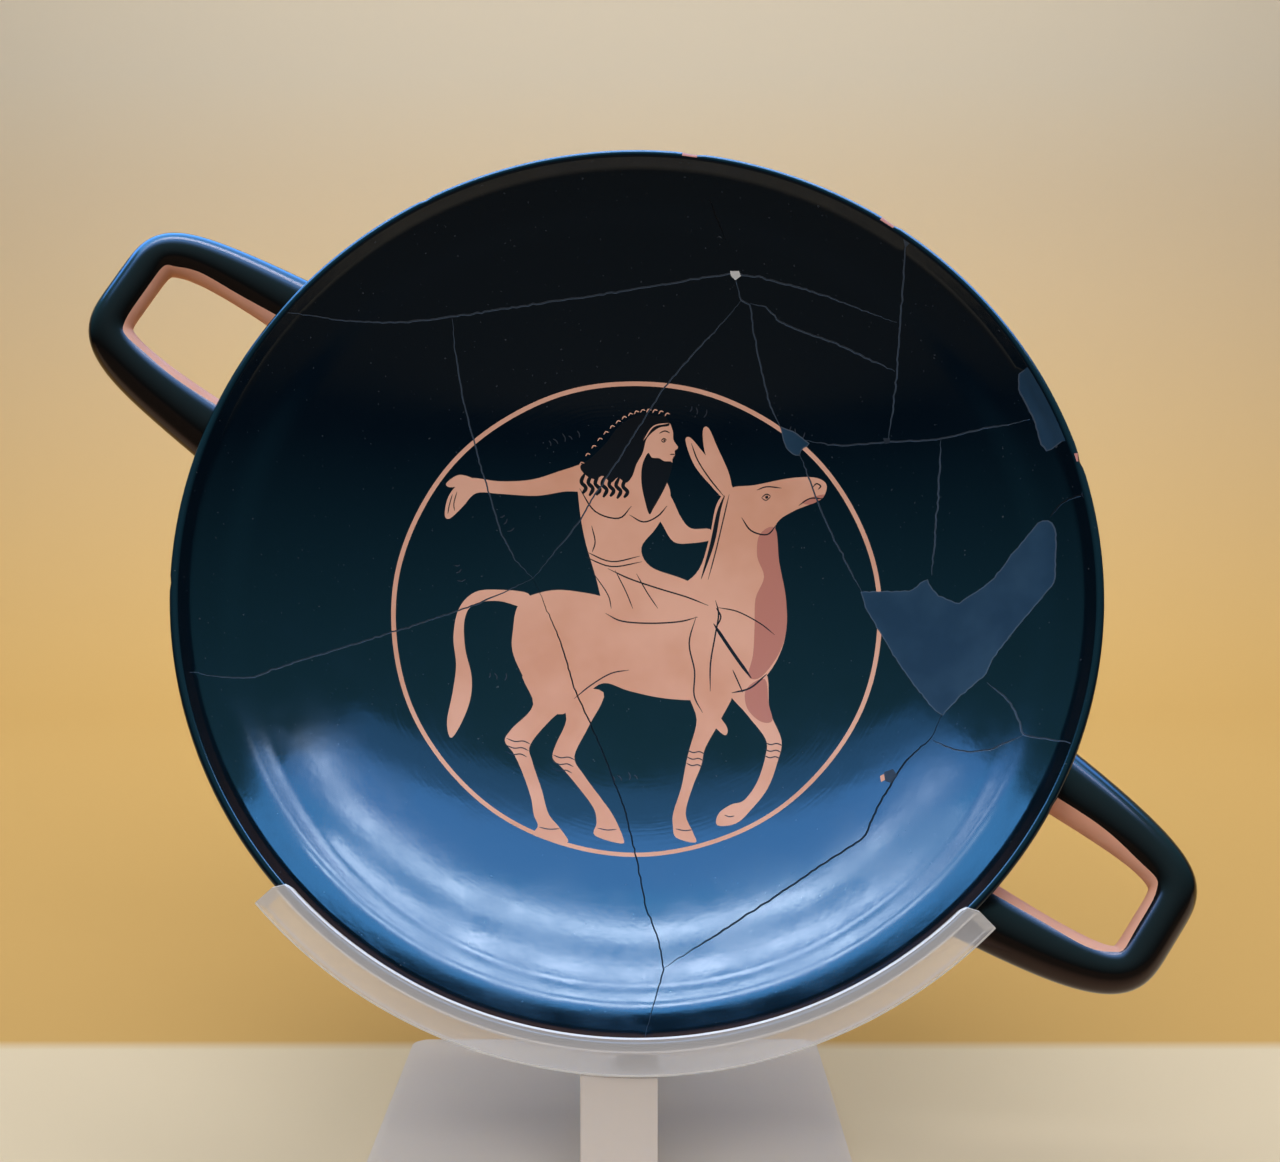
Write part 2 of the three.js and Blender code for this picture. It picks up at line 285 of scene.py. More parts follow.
def bowl_slope(radius):
    """Rise of the inside per unit of radius, the derivative of bowl_height."""
    share = radius / mouth_radius
    lip = LIP_TURN / (1 + np.exp((LIP_START - share) / LIP_SOFTNESS))
    return BOWL_POWER * curved_depth / mouth_radius * share ** (BOWL_POWER - 1) + lip


def on_bowl(pixels):
    """Where rays through the photograph's pixels meet the bowl, in its own x and y, by Newton steps."""
    pixels = np.atleast_2d(np.asarray(pixels, float))
    rays = np.column_stack([(pixels - PHOTO_SIZE / 2) / FOCAL_PIXELS, np.ones(len(pixels))]) @ view_axes
    rays = rays @ cup_axes.T
    start = (camera_place - RIM_CENTRE) @ cup_axes.T / MM
    reach = np.full(len(pixels), 430.0)
    for _ in range(25):
        at = start + rays * reach[:, None]
        radius = np.maximum(np.hypot(at[:, 0], at[:, 1]), 1e-6)
        gap = at[:, 2] - bowl_height(np.minimum(radius, RIM_RADIUS * 1.05))
        outward = (at[:, 0] * rays[:, 0] + at[:, 1] * rays[:, 1]) / radius
        reach = reach - gap / (rays[:, 2] - bowl_slope(radius) * outward)
    return (start + rays * reach[:, None])[:, :2]


def curve_through(points, closed=False, steps=5):
    """A Catmull-Rom curve: (2b + (c-a)t + (2a-5b+4c-d)t^2 + (3b-a-3c+d)t^3) / 2 between points b and c."""
    points = np.asarray(points, float)
    count = len(points)
    if closed:
        before, after, beyond = np.roll(points, 1, 0), np.roll(points, -1, 0), np.roll(points, -2, 0)
    else:
        padded = np.vstack([2 * points[0] - points[1], points, 2 * points[-1] - points[-2]])
        before, after, beyond = padded[:count - 1], padded[2:count + 1], padded[3:count + 2]
        points = points[:-1]
    t = (np.arange(steps) / steps)[None, :, None]
    a, b, c, d = (part[:, None, :] for part in (before, points, after, beyond))
    curve = 0.5 * (2 * b + (c - a) * t + (2 * a - 5 * b + 4 * c - d) * t ** 2
                   + (3 * b - a - 3 * c + d) * t ** 3)
    curve = curve.reshape(-1, 2)
    return curve if closed else np.vstack([curve, padded[-2]])


def ribbon(line, width, taper=0.25):
    """The outline of a brush line: the line moved half its width to each side, thinner at its ends."""
    line = np.asarray(line, float)
    along = np.gradient(line, axis=0)
    along /= np.maximum(np.linalg.norm(along, axis=1, keepdims=True), 1e-9)
    side = np.column_stack([-along[:, 1], along[:, 0]])
    share = np.linspace(0, 1, len(line))
    swell = taper + (1 - taper) * np.minimum(1, 6 * np.minimum(share, 1 - share))
    offset = side * (swell * np.asarray(width) / 2)[:, None]
    return np.vstack([line + offset, (line - offset)[::-1]])


# The picture: a generic rider on a donkey, left in the clay's colour when the ground was painted
# round it, with thin black lines for detail and a thin red wash on the donkey's neck and chest.
# Its units are millimetres right of and above the middle of the ring.
RING_CENTRE = np.array([-0.25, -0.65])
RING_RADIUS = 65.5
RING_WIDTH = 1.15

clay_shapes = {}
clay_shapes["donkey_body"] = curve_through([
    (-34, -3), (-33, 3.5), (-29.5, 7), (-22, 9), (-13, 8.2), (-5, 6.6), (4, 8), (12, 10.5), (17.5, 15),
    (20.5, 24), (22.5, 33), (26.5, 37.2), (33, 37.6), (42, 38.6), (49, 38.2), (52.4, 36), (51.6, 32.6),
    (48.6, 31.2), (43.5, 29.6), (39, 26.6), (38.4, 20), (40.4, 11), (41.2, 2), (40.4, -7), (36, -15.5),
    (29, -21), (19, -22.4), (8, -21.8), (-2, -19.6), (-9, -17.4), (-14.5, -21.5), (-20, -26.5),
    (-26, -24), (-31, -16), (-34, -9)], closed=True)
clay_shapes["ear_near"] = curve_through([
    (25.4, 33.8), (20.5, 38.6), (16.2, 44), (13.8, 50.4), (15.2, 51.2), (18.6, 47.4), (22.6, 42.6),
    (27, 37.4)], closed=True)
clay_shapes["ear_far"] = curve_through([
    (23.6, 40.4), (19.6, 46), (18.6, 52.8), (20.2, 53.6), (22.6, 48.6), (25.8, 41.6), (26.6, 37)],
    closed=True)
clay_shapes["tail"] = curve_through([
    (-30, 7.6), (-38, 8.2), (-44.5, 7), (-48.6, 2), (-49.8, -6), (-48.8, -14), (-49.4, -22),
    (-50.4, -30), (-49.2, -34.6), (-47, -31), (-44.8, -24), (-44.6, -17), (-46.6, -9), (-47, -1),
    (-44.6, 3.6), (-38, 5), (-30.5, 3.6)], closed=True)
clay_shapes["hind_leg_near"] = curve_through([
    (-31, -15), (-28, -24), (-33.4, -31), (-35.2, -34.6), (-32.8, -38), (-30.4, -43), (-27.8, -50),
    (-26.8, -55), (-25.6, -58), (-26.6, -60.6), (-21, -62), (-17.6, -62.2), (-20, -58.4), (-23, -54.6),
    (-25, -48), (-27.8, -40), (-28.4, -35.4), (-23, -28), (-15, -20), (-20, -14)], closed=True)
clay_shapes["hind_leg_far"] = curve_through([
    (-20, -20), (-19, -28), (-21.6, -35), (-22.4, -39), (-19.6, -42), (-15, -47.6), (-11.2, -53),
    (-10.4, -57), (-10.8, -60.4), (-4, -62.6), (-3.4, -61), (-6, -55), (-9.4, -50), (-14, -43.6),
    (-16.6, -38.4), (-13, -30), (-9, -20)], closed=True)
clay_shapes["fore_leg_near"] = curve_through([
    (15, -20), (16.4, -28), (14.4, -36), (13.4, -40), (12, -47), (9.8, -54), (9.6, -57.6), (10.4, -61),
    (15.4, -62.4), (14.8, -59.6), (13, -54.4), (15, -47), (17.4, -41), (18.6, -36), (22.6, -28.6),
    (26, -20)], closed=True)
clay_shapes["fore_leg_raised"] = curve_through([
    (25, -19), (30, -27), (34.6, -34), (34.4, -39), (32, -46), (28.4, -51), (24.8, -52.2),
    (21.6, -54.6), (21.2, -57.8), (26, -57.4), (30, -53.8), (34.6, -48), (37.4, -41), (38.8, -34.6),
    (36, -26), (35, -15)], closed=True)
clay_shapes["torso"] = curve_through([
    (-9, 4), (-11.4, 13), (-14.6, 24), (-16.2, 34), (-16, 42), (-9, 45.4), (-2, 45), (4, 43),
    (8.6, 39.4), (9.4, 34), (5.6, 27), (1.4, 21.4), (4, 16), (13, 12.4), (20.4, 8.4), (22.4, 4),
    (19, 1), (10, 2.6), (0, 1.6), (-6, 1)], closed=True)
clay_shapes["arm_back"] = curve_through([
    (-12, 44.6), (-20, 42.6), (-29, 39.4), (-38, 38.2), (-45, 38.4), (-48.4, 37.2), (-51.8, 32.8),
    (-52.8, 27.6), (-51.4, 26.8), (-48, 30.4), (-44.4, 34.4), (-38, 34.8), (-28, 35), (-20, 36.6),
    (-12, 37.4)], closed=True)
clay_shapes["thumb_back"] = curve_through([
    (-45, 38), (-49, 38.8), (-52.4, 36.2), (-51.4, 35.2), (-47.6, 36.4)], closed=True)
clay_shapes["arm_fore"] = curve_through([
    (5, 40.6), (9.4, 36), (12.6, 29.6), (15.4, 26.6), (20.6, 26.2), (21.4, 23.4), (15, 22.4),
    (10.4, 23), (7.4, 27.6), (4.6, 33)], closed=True)
clay_shapes["leg_rider"] = curve_through([
    (14, 6), (21.6, 6.6), (23, 2), (22, -6), (20.8, -15), (20.4, -21), (22, -26), (24.6, -30.6),
    (23.8, -32.6), (20.6, -29.4), (17.2, -24.6), (16.2, -16), (14.8, -8), (15.4, -1)], closed=True)
clay_shapes["neck_rider"] = curve_through([
    (-5.2, 41.4), (-2.2, 47.4), (4.2, 47.4), (5.8, 41.4), (3.8, 37.4)], closed=True)
clay_shapes["face"] = curve_through([
    (0.2, 46.4), (1.2, 53.4), (4.8, 56.4), (8.6, 56), (10.2, 53.2), (10.4, 50.8), (11.7, 48.8),
    (10.8, 47.9), (10.8, 46.8), (10.2, 45.8), (9.8, 44), (7.4, 42.4), (3.8, 42.8)], closed=True)

dark_shapes = {}
dark_shapes["hair"] = curve_through([
    (5.4, 57.2), (0.8, 57.4), (-4.6, 54.8), (-8.6, 50), (-12.8, 46), (-15.8, 43.6), (-14.2, 41.2),
    (-11.6, 40.2), (-9.4, 41.2), (-7.2, 39.4), (-5.2, 40.8), (-3, 39.4), (-1.2, 41.2), (0, 44.4),
    (1.8, 47.6), (3, 51.4), (6.2, 54), (9.2, 54.6), (8.4, 56.6)], closed=True)
dark_shapes["beard"] = curve_through([
    (3.2, 47.4), (4.4, 46.2), (6.4, 46), (7.8, 45.2), (9.8, 45), (10, 43.4), (8.2, 38.4), (4.8, 32.4),
    (3.6, 30.8), (2.4, 34.4), (1.4, 39.4), (1.6, 44)], closed=True)
dark_shapes["mane"] = curve_through([
    (18, 12), (20.6, 22), (22.6, 31), (24.8, 35.4), (23.6, 31), (21.8, 22)], closed=True)

wash_shapes = {}
wash_shapes["chest"] = curve_through([
    (34.4, 24), (38.6, 25.4), (39.6, 16), (41.2, 6), (41.2, -3), (39, -10), (34, -16.4), (30.6, -16),
    (32, -10), (32.6, -2), (33, 6), (35.4, 12), (33.6, 18)], closed=True)
wash_shapes["fore_leg"] = curve_through([
    (30, -19.6), (35, -17), (35.8, -24), (36.6, -29), (33.4, -29), (30, -25)], closed=True)
wash_shapes["muzzle"] = curve_through([
    (46, 32), (49, 33), (52, 33.2), (50, 31.6), (47.4, 31)], closed=True)

black_lines = [
    ([(-8, 15.4), (-2, 12.6), (6, 9.8), (14, 7.2), (20, 4.6)], 0.42),
    ([(-8.6, 2.6), (-4, 0.4), (4, -0.2), (12, 0.2), (17, 1.4)], 0.42),
    ([(16.6, 1.6), (14.6, -6), (16, -14), (15.8, -21), (18, -26)], 0.4),
    ([(22, 6), (22.8, 2), (21.8, -4), (20.4, -12), (20.2, -20)], 0.42),
    ([(22.4, 4), (28, 2.6), (34, -1), (38, -4.6)], 0.34),
    ([(-16, 37.6), (-11.6, 31.4), (-5, 29.6), (-1.4, 33)], 0.4),
    ([(-2, 30.6), (2, 28.6), (6, 30.2), (8.6, 33)], 0.4),
    ([(-12.6, 27.4), (-11.6, 23), (-12.4, 20)], 0.34),
    ([(-14, 20), (-7, 17.4), (1, 19)], 0.36),
    ([(-14.4, 18.6), (-7, 16), (1.6, 17.4)], 0.36),
    ([(-12, 14), (-8, 8), (-7, 4)], 0.3),
    ([(-6, 15), (-3, 9), (-1, 4)], 0.3),
    ([(0, 14), (3, 8.6), (6, 4)], 0.3),
    ([(21.4, -0.6), (24.4, -5.6), (28, -11.4), (31.4, -16.6)], 0.9),
    ([(22.2, 3.8), (23.4, 1.4), (22.6, -1)], 0.42),
    ([(29.4, 29), (32, 25.2), (36.4, 23.8), (39, 26.4)], 0.4),
    ([(20, 12), (22.2, 20), (24.4, 29), (26, 35.6)], 0.34),
    ([(24.6, 35), (20.6, 40), (17.2, 45.2), (15.4, 49.8)], 0.36),
    ([(45, 31), (48, 32.6), (51.4, 32.2)], 0.36),
    ([(48.8, 35.6), (49.8, 36.4), (50.9, 35.6), (50.2, 34.8)], 0.36),
    ([(-17, -22), (-12.4, -18), (-7, -14.6), (-2, -13.6)], 0.36),
    ([(29, -20.6), (27.6, -17), (26.4, -14)], 0.36),
    ([(26, -20.6), (31, -19.4), (35.6, -15.6)], 0.5),
    ([(-50.8, 33.4), (-51.6, 30.4), (-52, 28)], 0.26),
    ([(-49.6, 34.2), (-50.4, 31), (-50.2, 29)], 0.26),
]
for knee, width in (((-31.6, -34.6), 6.4), ((-19.4, -38.8), 6), ((16, -37.2), 5), ((36.6, -35.6), 5)):
    for drop in (0, -1.9, -3.7):
        x, y = knee[0] + drop * 0.12, knee[1] + drop
        reach = width / 2 * (1 + 0.1 * drop / 3.7)
        black_lines.append(([(x - reach, y + 0.7), (x - reach * 0.3, y - 0.1),
                             (x + reach * 0.4, y + 0.1), (x + reach, y - 0.7)], 0.32))
for hoof, width in (((-22.6, -58.4), 5.4), ((-7.6, -58.4), 5), ((12.6, -58.6), 4.6), ((24.4, -55), 2.6)):
    black_lines.append(([(hoof[0] - width / 2, hoof[1]), (hoof[0], hoof[1] - 0.5),
                         (hoof[0] + width / 2, hoof[1] - 0.3)], 0.3))
for eye, size in (((36.2, 34), 2.6), ((7.7, 50.7), 1.5)):
    x, y = eye
    black_lines.append(([(x - size / 2, y), (x, y + size * 0.34), (x + size / 2, y + 0.1 * size)], 0.3))
    black_lines.append(([(x - size / 2, y), (x, y - size * 0.3), (x + size / 2, y + 0.1 * size)], 0.26))
    turn = np.linspace(0, 2 * math.pi, 9)[:-1]
    dark_shapes[f"pupil_{len(dark_shapes)}"] = np.column_stack([
        x + size * 0.05 + size * 0.17 * np.cos(turn), y + 0.03 * size + size * 0.17 * np.sin(turn)])
black_lines += [([(6.4, 52.6), (8, 53.2), (9.4, 52.6)], 0.3),
                ([(9.4, 46.9), (10.2, 47), (10.8, 46.9)], 0.26),
                ([(33.6, 36.2), (36.4, 36.9), (40.4, 36.2)], 0.34)]

clay_lines = []
for curl in range(7):
    x = -14.6 + 1.95 * curl
    y = 40.6 - 0.15 * curl
    dark_shapes[f"curl_{curl}"] = ribbon(curve_through(
        [(x, y + 1), (x - 0.9, y - 1.2), (x + 0.4, y - 2.8), (x - 0.6, y - 4.4 - 0.4 * (curl % 2))]),
        1.05, taper=0.5)
for bead in range(15):
    t = bead / 14
    x = -15.4 + 24 * t
    y = 44.4 + 14.2 * math.sin(math.pi * 0.62 * t ** 0.86) ** 1.1
    clay_lines.append(([(x - 0.65, y - 0.5), (x - 0.1, y + 0.25), (x + 0.75, y + 0.05)], 0.3))
clay_lines.append(([(2, 50.8), (4.8, 54.4), (9, 55.2)], 0.34))

# Traces of a painted inscription: rows of short faint strokes that make no letters.
STROKE_WIDTH = 0.3
faint_strokes = []
for start, heading, strokes in (((-24, 48.6), 18, 5), ((-38, 28.4), -62, 3), ((-50, 14), -80, 3),
                                ((15, 58), -24, 3), ((42, 51), -38, 3), ((-40, -17), -8, 3),
                                ((-6, -45.4), 6, 4)):
    heading = math.radians(heading)
    for k in range(strokes):
        x, y = start[0] + 2.1 * k * math.cos(heading), start[1] + 2.1 * k * math.sin(heading)
        lean, tall = heading + 1.3 + 0.5 * (k % 2), 1.5 + 0.4 * (k % 3)
        faint_strokes.append([(x, y), (x + 0.5 * tall * math.cos(lean), y + 0.5 * tall * math.sin(lean)),
                              (x + tall * math.cos(lean + 0.3), y + tall * math.sin(lean + 0.3))])

# The joins: the cup was put together from sherds, and plaster toned grey-blue fills what is lost.
# Each line and outline is where the photograph shows it, given by its pixels there.
JOIN_WIDTH = 0.42
JOIN_DEPTH = 0.3
FILL_EDGE = 0.26
join_pixels = {
    "upper_left": [
        (283, 312), (300, 313), (355, 321), (405, 322), (450, 317), (500, 309), (560, 300), (640, 288),
        (700, 278), (735, 273), (760, 277), (800, 288), (830, 297), (897, 322)],
    "left_short": [
        (452, 318), (455, 350), (463, 400), (476, 450), (485, 480), (500, 530), (515, 560), (533, 578)],
    "left_long": [(533, 578), (480, 603), (392, 632), (300, 660), (250, 678), (205, 675), (177, 668)],
    "down": [
        (533, 578), (560, 640), (575, 690), (600, 745), (625, 810), (637, 860), (645, 905), (657, 935),
        (664, 968), (655, 1000), (645, 1035), (643, 1052)],
    "lower_right": [
        (664, 968), (700, 945), (770, 900), (826, 862), (864, 838), (877, 808), (896, 776), (907, 759),
        (932, 738), (942, 715)],
    "middle": [(533, 578), (579, 522), (592, 499), (662, 390), (686, 362), (735, 308), (741, 300)],
    "top_down": [(735, 273), (741, 300), (750, 305), (757, 350), (770, 405), (783, 432)],
    "ring_down": [(800, 455), (825, 520), (845, 560), (862, 592)],
    "upper_fork": [(750, 303), (765, 306), (780, 322), (840, 345), (895, 371)],
    "upper_right": [(907, 228), (903, 290), (900, 325), (897, 372), (893, 410), (888, 441)],
    "right_long": [(805, 440), (840, 446), (885, 442), (940, 439), (985, 428), (1030, 419)],
    "right_down": [(941, 440), (938, 500), (932, 575)],
    "rim_notch": [(1094, 490), (1088, 492), (1063, 502), (1050, 517)],
    "right_low": [(987, 682), (1004, 696), (1015, 710), (1020, 723), (1023, 735), (1077, 743)],
    "right_low_left": [(932, 739), (948, 748), (967, 752), (990, 750), (1015, 739), (1023, 735)],
    "top_short": [(709, 199), (726, 241)],
}
dark_joins = {"lower_right": 0.5, "top_short": 0.4, "rim_notch": 0.5, "down": 0.4}
fill_pixels = {
    "large": [
        (861, 592), (912, 591), (921, 583), (927, 579), (930, 586), (937, 595), (958, 604), (976, 592),
        (992, 581), (1015, 551), (1040, 521), (1050, 521), (1055, 530), (1056, 549), (1055, 581),
        (1038, 602), (1015, 629), (992, 659), (985, 675), (976, 682), (958, 698), (942, 715),
        (935, 710), (917, 689), (893, 654), (866, 608)],
    "at_rim": [
        (1019, 374), (1026, 369), (1037, 369), (1060, 409), (1067, 438), (1053, 447), (1048, 452),
        (1042, 446), (1035, 423), (1029, 409), (1019, 390)],
    "at_ring": [(781, 427), (795, 433), (810, 444), (801, 449), (800, 455), (793, 455), (785, 445)],
}
chip_pixels = {
    "white_nick": ([(730, 271), (739, 271), (741, 276), (735, 280), (731, 276)], "chalk"),
    "join_chip": ([(884, 772), (893, 769), (897, 775), (891, 783), (885, 781)], "pit"),
    "clay_nick": ([(880, 776), (884, 774), (885, 780), (881, 782)], "clay"),
    "small_nick": ([(883, 438), (890, 438), (890, 443), (885, 444)], "pit"),
}


def roughened(line, amount, seed):
    """The line cut into short steps with a small seeded wander to each side."""
    line = np.asarray(line, float)
    length = np.concatenate([[0], np.cumsum(np.linalg.norm(np.diff(line, axis=0), axis=1))])
    steps = max(int(length[-1] / 1.1), 2)
    at = np.linspace(0, length[-1], steps + 1)
    fine = np.column_stack([np.interp(at, length, line[:, k]) for k in (0, 1)])
    wander = np.random.default_rng(seed).normal(0, amount, fine.shape)
    wander[[0, -1]] = 0
    return fine + wander


joins = {name: roughened(on_bowl(pixels), 0.09, 11 + i)
         for i, (name, pixels) in enumerate(join_pixels.items())}
fills = {name: roughened(np.vstack([on_bowl(p), on_bowl(p[:1])]), 0.07, 51 + i)[:-1]
         for i, (name, p) in enumerate(fill_pixels.items())}
chips = {name: (on_bowl(p), kind) for name, (p, kind) in chip_pixels.items()}

# Each layer lies over those before it. A face takes the last layer whose outline holds its middle.
LAYERS = ["slip", "clay", "wash", "line", "faded", "fill", "join", "join_dark", "chalk", "pit",
          "handle_slip"]
ring_turn = np.linspace(0, 2 * math.pi, 361)[:-1]
ring_wobble = 0.12 * np.sin(3 * ring_turn + 1) + 0.08 * np.sin(11 * ring_turn)
outlines = []


def add_outline(layer, points):
    """Adds a closed outline to the list, with the place of its layer."""
    outlines.append((LAYERS.index(layer), np.asarray(points, float)))


ring_points = np.column_stack([np.cos(ring_turn), np.sin(ring_turn)])
add_outline("clay", RING_CENTRE + ring_points * (RING_RADIUS + RING_WIDTH / 2 + ring_wobble)[:, None])
add_outline("slip", RING_CENTRE + ring_points * (RING_RADIUS - RING_WIDTH / 2 + ring_wobble)[:, None])
for shape in clay_shapes.values():
    add_outline("clay", RING_CENTRE + shape)
for shape in wash_shapes.values():
    add_outline("wash", RING_CENTRE + shape)
for shape in dark_shapes.values():
    add_outline("line", RING_CENTRE + shape)
for points, width in black_lines:
    add_outline("line", RING_CENTRE + ribbon(curve_through(points), width))
for points, width in clay_lines:
    add_outline("clay", RING_CENTRE + ribbon(curve_through(points), width))
for points in faint_strokes:
    add_outline("faded", RING_CENTRE + ribbon(curve_through(points), STROKE_WIDTH))
for shape in fills.values():
    add_outline("fill", shape)
for shape in fills.values():
    add_outline("join", ribbon(np.vstack([shape, shape[:1]]), FILL_EDGE, taper=1.0))
for name, line in joins.items():
    add_outline("join_dark" if name in dark_joins else "join",
                ribbon(line, dark_joins.get(name, JOIN_WIDTH)))
for shape, kind in chips.values():
    add_outline(kind, shape)


def inside(outline, points):
    """Which points an outline winds round, summed over its edges."""
    result = np.zeros(len(points), bool)
    low, high = outline.min(0), outline.max(0)
    near = np.all((points >= low) & (points <= high), axis=1)
    if not near.any():
        return result
    x, y = points[near, 0][:, None], points[near, 1][:, None]
    x0, y0 = outline[:, 0][None], outline[:, 1][None]
    x1, y1 = np.roll(outline[:, 0], -1)[None], np.roll(outline[:, 1], -1)[None]
    left = (x1 - x0) * (y - y0) - (x - x0) * (y1 - y0)
    winds = ((y0 <= y) & (y1 > y) & (left > 0)).astype(int) - ((y0 > y) & (y1 <= y) & (left < 0))
    result[near] = winds.sum(1) != 0
    return result


def away_from(line, points, reach):
    """Each point's distance to a line of points, up to a reach."""
    best = np.full(len(points), reach)
    low, high = line.min(0) - reach, line.max(0) + reach
    near = np.flatnonzero(np.all((points >= low) & (points <= high), axis=1))
    if not len(near):
        return best
    start, step = line[:-1], np.diff(line, axis=0)
    long = np.maximum((step ** 2).sum(1), 1e-12)
    from_start = points[near][:, None] - start[None]
    share = np.clip((from_start * step[None]).sum(2) / long, 0, 1)
    gap = np.linalg.norm(from_start - share[..., None] * step[None], axis=2).min(1)
    best[near] = np.minimum(gap, reach)
    return best


RINGS = 84
SPOKES = 360
plan = [np.zeros((1, 2))]
for i in range(1, RINGS + 1):
    radius = mouth_radius * i / RINGS
    count = SPOKES if i > RINGS // 3 else SPOKES // 3
    turn = 2 * math.pi * np.arange(count) / count
    plan.append(radius * np.column_stack([np.cos(turn), np.sin(turn)]))
first = sum(len(part) for part in plan)
rim_start = first - SPOKES
edges = [(rim_start + k, rim_start + (k + 1) % SPOKES) for k in range(SPOKES)]
lines_for_mesh = [(shape, True) for _, shape in outlines] + [(line, False) for line in joins.values()]
for shape, closed in lines_for_mesh:
    shape = shape[np.hypot(shape[:, 0], shape[:, 1]) < mouth_radius - 0.05]
    if len(shape) < 2:
        continue
    plan.append(shape)
    count = len(shape)
    edges += [(first + k, first + k + 1) for k in range(count - 1)]
    if closed:
        edges.append((first + count - 1, first))
    first += count
flat, _, triangles, _, _, _ = delaunay_2d_cdt(np.vstack(plan).tolist(), edges, [], 0, 1e-5, False)
flat = np.array([tuple(p) for p in flat])
triangles = np.array([tuple(t) for t in triangles if len(t) == 3])
middles = flat[triangles].mean(1)
cross = np.cross(flat[triangles[:, 1]] - flat[triangles[:, 0]],
                 flat[triangles[:, 2]] - flat[triangles[:, 0]])
triangles[cross < 0] = triangles[cross < 0][:, ::-1]
layer = np.zeros(len(triangles), int)
for index, shape in outlines:
    layer[inside(shape, middles)] = index

radius = np.hypot(flat[:, 0], flat[:, 1])
sink = np.zeros(len(flat))
for name, line in joins.items():
    half = dark_joins.get(name, JOIN_WIDTH) / 2
    sink = np.maximum(sink, JOIN_DEPTH * (1 - away_from(line, flat, half) / half))
sink[radius > mouth_radius - 0.2] = 0
inner_points = np.column_stack([flat, bowl_height(radius) - sink])
bend_shown = 1 - LIP_SHEEN * np.clip((radius / mouth_radius - SHEEN_START) / SHEEN_RUN, 0, 1)
bend_shown = np.where(radius / mouth_radius > SHEEN_END, 1.0, bend_shown)
slope = bend_shown * bowl_slope(radius) / np.maximum(radius, 1e-6)
inner_normals = np.column_stack([-flat * slope[:, None], np.ones(len(flat))])
inner_normals /= np.linalg.norm(inner_normals, axis=1, keepdims=True)


# The outside: rim, wall, stem and foot in one turned surface, black but for the clay left bare
# between each handle's roots, on the foot's edge and under the foot.
CUP_HEIGHT = 92.0
STEM_RADIUS = 12.0
STEM_FILLET = 4.0
STEM_JOIN = 0.14
FOOT_RADIUS = 44.0
FOOT_THICKNESS = 6.5
FOOT_RISE = 3.0
FOOT_FLARE = 5.0
RESTING_RING = 8.0
HOLLOW_WALL = 4.0
HOLLOW_EDGE = 3.5
HOLLOW_TOP = 14.0
POLE_RADIUS = 0.5


def outer_wall(radius, share_of_wall=1.0):
    """A point off the inside along its normal, by a wall that thickens towards the floor."""
    share = radius / mouth_radius
    wall = RIM_THICKNESS + (FLOOR_THICKNESS - RIM_THICKNESS) * (1 - share) ** WALL_TAPER
    angle = np.arctan(bowl_slope(radius))
    offset = wall * share_of_wall
    return np.column_stack([radius + offset * np.sin(angle), bowl_height(radius) - offset * np.cos(angle)])


def arc(centre, size, start, stop, steps):
    """Points on a circle from one angle to another, in degrees."""
    turn = np.radians(np.linspace(start, stop, steps))
    return np.column_stack([centre[0] + size * np.cos(turn), centre[1] + size * np.sin(turn)])


def bend(start, corner, stop, steps=8):
    """A quadratic curve from start to stop, drawn towards a corner."""
    t = np.linspace(0, 1, steps)[:, None]
    start, corner, stop = (np.array(p, float) for p in (start, corner, stop))
    return (1 - t) ** 2 * start + 2 * t * (1 - t) * corner + t ** 2 * stop


foot_top = -CUP_HEIGHT + FOOT_THICKNESS
edge = FOOT_THICKNESS / 2
crest = (RIM_RADIUS - RIM_THICKNESS / 2, -RIM_THICKNESS / 2)
slope_degrees = math.degrees(rim_slope)
wall_share = np.linspace(1, STEM_JOIN, 56)
wall_run = outer_wall(wall_share * mouth_radius)
start = wall_run[-1]
neck = foot_top + FOOT_RISE
hollow_edge = (FOOT_RADIUS - RESTING_RING - HOLLOW_WALL, -CUP_HEIGHT + HOLLOW_EDGE)
turned_parts = [
    ("rim", arc(crest, RIM_THICKNESS / 2, slope_degrees + 90, slope_degrees - 90, 13)),
    ("wall", wall_run[1:]),
    ("stem", bend(start, (STEM_RADIUS, start[1]), (STEM_RADIUS, start[1] - STEM_FILLET))[1:]),
    ("stem", bend((STEM_RADIUS, neck + FOOT_FLARE), (STEM_RADIUS, neck), (STEM_RADIUS + FOOT_FLARE, neck))),
    ("foot", bend((STEM_RADIUS + FOOT_FLARE, neck), (FOOT_RADIUS * 0.6, foot_top),
                  (FOOT_RADIUS - edge, foot_top))[1:]),
    ("foot_edge", arc((FOOT_RADIUS - edge, foot_top - edge), edge, 90, -90, 13)[1:]),
    ("rest", bend((FOOT_RADIUS - edge - 0.4, -CUP_HEIGHT), (FOOT_RADIUS - RESTING_RING, -CUP_HEIGHT),
                  hollow_edge)),
    ("under", bend((hollow_edge[0] - 0.6, hollow_edge[1] + 0.1),
                   (STEM_RADIUS + FOOT_FLARE, neck - HOLLOW_WALL),
                   (STEM_RADIUS / 2, -CUP_HEIGHT + HOLLOW_TOP))),
    ("under", np.array([[STEM_RADIUS / 4, -CUP_HEIGHT + HOLLOW_TOP],
                        [POLE_RADIUS, -CUP_HEIGHT + HOLLOW_TOP]])),
]
turned = np.vstack([points for _, points in turned_parts])
turned_names = [name for name, points in turned_parts for _ in range(len(points))]
turned_along = np.gradient(turned, axis=0)
turned_normal = np.column_stack([-turned_along[:, 1], turned_along[:, 0]])
turned_normal /= np.linalg.norm(turned_normal, axis=1, keepdims=True)
turned_normal[0] = (-math.sin(rim_slope), math.cos(rim_slope))

spoke = 2 * math.pi * np.arange(SPOKES) / SPOKES


